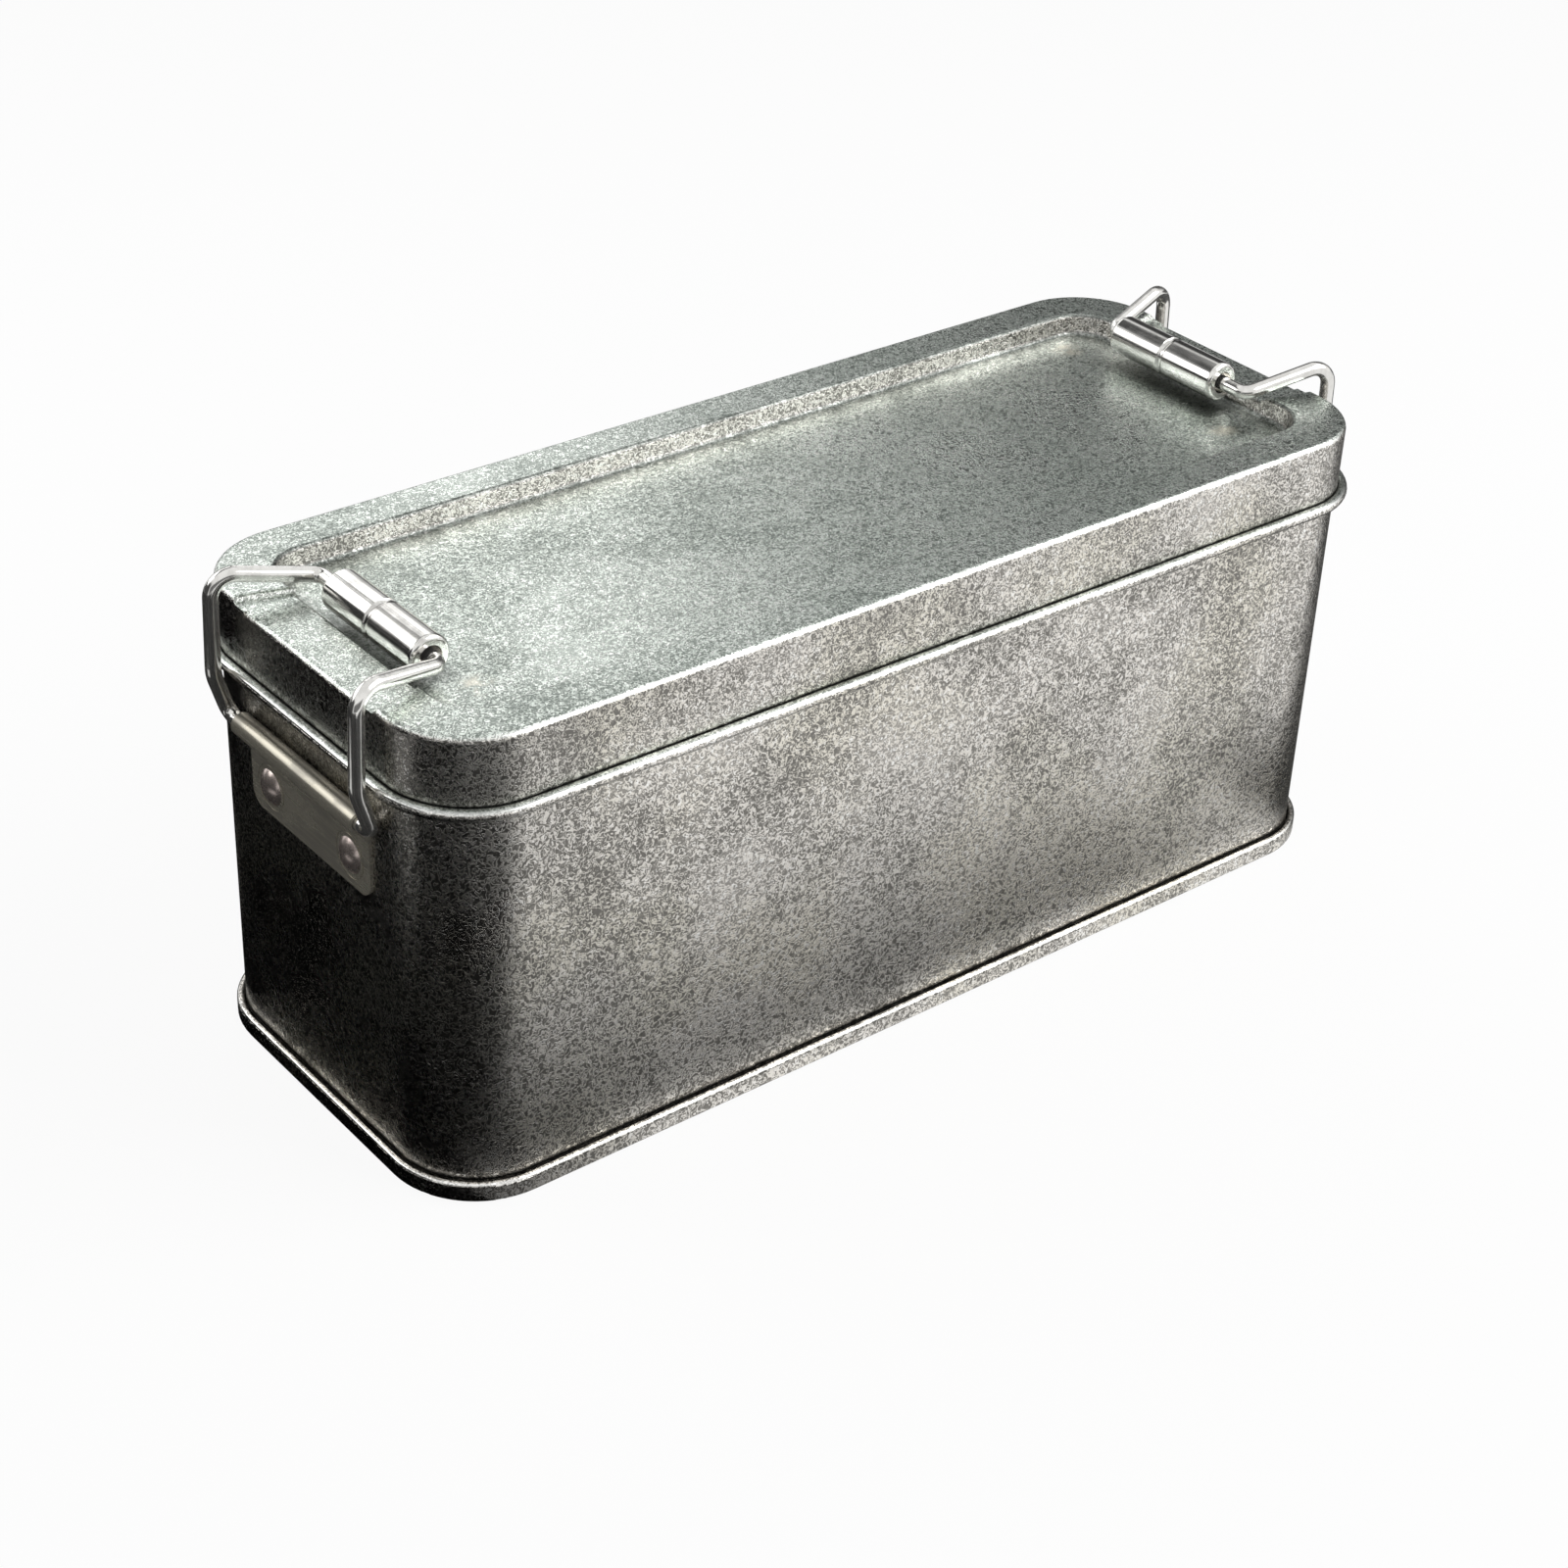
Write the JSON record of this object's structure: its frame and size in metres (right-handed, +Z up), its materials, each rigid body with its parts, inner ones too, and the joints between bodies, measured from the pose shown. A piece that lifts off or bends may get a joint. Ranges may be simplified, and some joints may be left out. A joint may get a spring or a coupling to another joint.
{
  "type": "colored pencil tin",
  "caption": "Long rounded rectangular tin with a lift-off lid that has a sunken panel, and at each end a hinged wire clamp whose roller hooks over the lid's rim.",
  "frame": {"origin": "centre of the foot, on the surface that the tin stands on", "axes": "+X along the tin towards the right clamp, +Y to the back where the lock seam is, +Z up"},
  "size_m": [0.2008, 0.0762, 0.0877],
  "materials": {
    "wall_tinplate": "aged bare tinplate, warm grey with fine bright flecks and dark clouds",
    "base_tinplate": "aged bare tinplate, bright along the folded edge",
    "lid_tinplate": "aged bare tinplate, greenish grey with fine bright flecks",
    "plate_steel": "polished steel with a brownish cast",
    "clamp_wire": "bright nickel-plated wire",
    "roller_metal": "bright nickel-plated tube",
    "rivet_steel": "domed steel heads, slightly pinkish"
  },
  "bodies": {
    "tin": {"body_wall": "wall_tinplate", "base_plate": "base_tinplate", "left_hinge_plate": "plate_steel", "right_hinge_plate": "plate_steel", "left_front_rivet": "rivet_steel", "left_rear_rivet": "rivet_steel", "right_front_rivet": "rivet_steel", "right_rear_rivet": "rivet_steel"},
    "lid": {"lid": "lid_tinplate"},
    "left_clamp": {"left_bail": "clamp_wire"},
    "right_clamp": {"right_bail": "clamp_wire"},
    "left_clamp_roller": {"left_roller": "roller_metal"},
    "right_clamp_roller": {"right_roller": "roller_metal"}
  },
  "joints": [
    {"name": "lid_lift", "type": "slide", "parent": "tin", "child": "lid", "axis": [0, 0, 1], "range_m": [0, 0.01396]},
    {"name": "left_clamp_swing", "type": "hinge", "parent": "tin", "child": "left_clamp", "pos_m": [-0.09687, 0, 0.0625], "axis": [0, -1, 0], "range_deg": [0, 160]},
    {"name": "right_clamp_swing", "type": "hinge", "parent": "tin", "child": "right_clamp", "pos_m": [0.09687, 0, 0.0625], "axis": [0, 1, 0], "range_deg": [0, 160]},
    {"name": "left_roller_spin", "type": "hinge", "parent": "left_clamp", "child": "left_clamp_roller", "pos_m": [-0.0822, 0, 0.08387], "axis": [0, 1, 0], "continuous": true},
    {"name": "right_roller_spin", "type": "hinge", "parent": "right_clamp", "child": "right_clamp_roller", "pos_m": [0.0822, 0, 0.08387], "axis": [0, 1, 0], "continuous": true}
  ],
  "couplings": [
    {"joint": "left_clamp_swing", "follows": "lid_lift", "rad_per_m": 200},
    {"joint": "right_clamp_swing", "follows": "lid_lift", "rad_per_m": 200}
  ]
}
